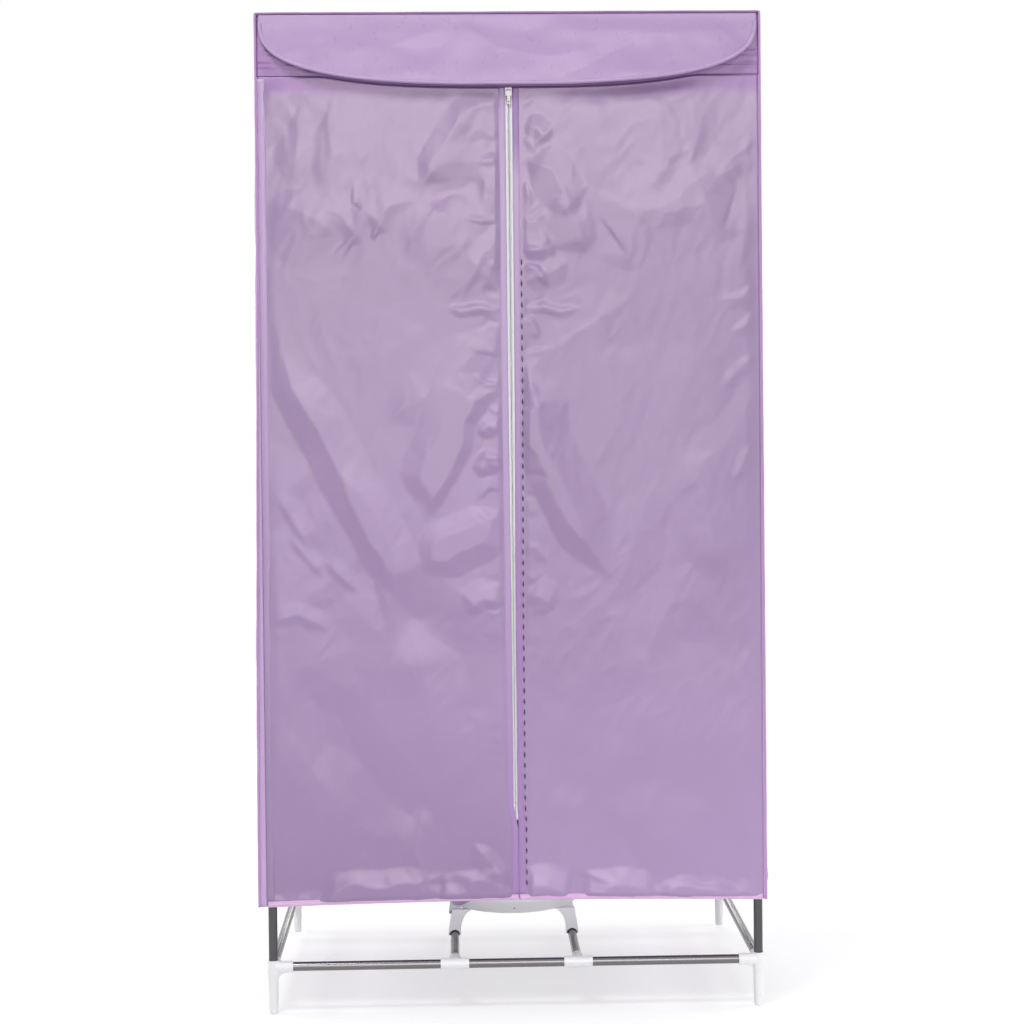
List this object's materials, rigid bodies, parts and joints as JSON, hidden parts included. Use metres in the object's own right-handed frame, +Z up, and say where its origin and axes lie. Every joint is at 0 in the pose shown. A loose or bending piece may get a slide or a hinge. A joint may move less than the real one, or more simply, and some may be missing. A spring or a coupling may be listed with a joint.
{
  "type": "portable clothes drying cabinet",
  "caption": "Tall clothes drying cabinet: steel tube frame on four feet, cloth cover with zipped doors and a flap, and a round fan heater on two cross tubes.",
  "frame": {"origin": "on the floor, under the middle of the frame", "axes": "+Z up, front faces -Y, +X to the right seen from the front"},
  "size_m": [0.7092, 0.4725, 1.4],
  "materials": {
    "frame_tube": "dark grey coated steel, semi-gloss",
    "connector": "white moulded plastic",
    "cover_cloth": "lilac coated polyester, soft sheen",
    "trim_cloth": "darker pink-lilac piping and bindings",
    "zip_tape": "white woven tape and coil",
    "zip_metal": "bright plated metal",
    "heater_shell": "white moulded plastic, satin",
    "rubber": "matte black",
    "grille": "heat-resistant grey plastic",
    "sheet_metal": "plain sheet",
    "dark_plastic": "dark grey, heat-resistant",
    "ptc_ceramic": "matte",
    "fan_plastic": "pale grey",
    "bright_steel": "plain steel",
    "motor_can": "grey can",
    "button_plastic": "red moulded plastic",
    "lens": "amber, clear"
  },
  "bodies": {
    "root": {"bottom_front_rail": "frame_tube", "bottom_rear_rail": "frame_tube", "bottom_side_rails": "frame_tube", "heater_carriers": "frame_tube", "lower_posts": "frame_tube", "upper_posts": "frame_tube", "middle_cross_rails": "frame_tube", "middle_side_rails": "frame_tube", "top_cross_rails": "frame_tube", "top_side_rails": "frame_tube", "hanging_rods": "frame_tube", "front_feet": "connector", "rear_feet": "connector", "bottom_tees": "connector", "middle_connectors": "connector", "top_connectors": "connector", "side_tees": "connector", "cover_roof": "cover_cloth", "cover_back": "cover_cloth", "cover_left_side": "cover_cloth", "cover_right_side": "cover_cloth", "cover_header": "cover_cloth", "cover_floor": "cover_cloth", "heater_cuff": "cover_cloth", "roof_piping": "trim_cloth", "corner_piping": "trim_cloth", "cover_hem": "trim_cloth", "heater_base": "heater_shell", "heater_brackets": "heater_shell", "heater_top": "heater_shell", "control_box": "heater_shell", "motor_mount": "heater_shell", "saddle_pads": "rubber", "cord_gland": "rubber", "outlet_grille": "grille", "baffle_plate": "sheet_metal", "ptc_frame": "dark_plastic", "ptc_elements": "ptc_ceramic", "ptc_fins": "sheet_metal", "thermostat": "dark_plastic", "motor": "motor_can", "case_screws": "bright_steel", "timer_body": "dark_plastic", "switch_body": "dark_plastic", "indicator_lens": "lens"},
    "door_left": {"door_left_panel": "cover_cloth", "door_left_hem": "trim_cloth", "zip_left": "zip_tape"},
    "door_right": {"door_right_panel": "cover_cloth", "door_right_hem": "trim_cloth", "zip_right": "zip_tape"},
    "slider": {"zip_slider": "zip_metal"},
    "pull": {"zip_pull": "zip_metal"},
    "flap": {"front_flap": "cover_cloth", "flap_binding": "trim_cloth"},
    "fan": {"fan": "fan_plastic", "fan_shaft": "bright_steel"},
    "timer": {"timer_knob": "heater_shell"},
    "button": {"power_button": "button_plastic"}
  },
  "joints": [
    {"name": "door_left_hinge", "type": "hinge", "parent": "root", "child": "door_left", "pos_m": [-0.35095, -0.22645, 0.73], "axis": [0, 0, -1], "range_deg": [0, 225]},
    {"name": "door_right_hinge", "type": "hinge", "parent": "root", "child": "door_right", "pos_m": [0.35095, -0.22645, 0.73], "axis": [0, 0, 1], "range_deg": [0, 225]},
    {"name": "zip_slide", "type": "slide", "parent": "door_right", "child": "slider", "axis": [0, 0, -1], "range_m": [0, 1.00895]},
    {"name": "pull_hinge", "type": "hinge", "parent": "slider", "child": "pull", "pos_m": [0, -0.22895, 1.29095], "axis": [-1, 0, 0], "range_deg": [0, 100]},
    {"name": "flap_hinge", "type": "hinge", "parent": "root", "child": "flap", "pos_m": [0, -0.22645, 1.39805], "axis": [-1, 0, 0], "range_deg": [0, 205]},
    {"name": "fan_spin", "type": "hinge", "parent": "root", "child": "fan", "pos_m": [0, 0, 0.12], "axis": [0, 0, 1], "continuous": true},
    {"name": "timer_turn", "type": "hinge", "parent": "root", "child": "timer", "pos_m": [-0.024, 0.13, 0.108], "axis": [0, 1, 0], "range_deg": [0, 300]},
    {"name": "button_press", "type": "slide", "parent": "root", "child": "button", "axis": [0, -1, 0], "range_m": [0, 0.0025], "stiffness_N_per_m": 400}
  ]
}
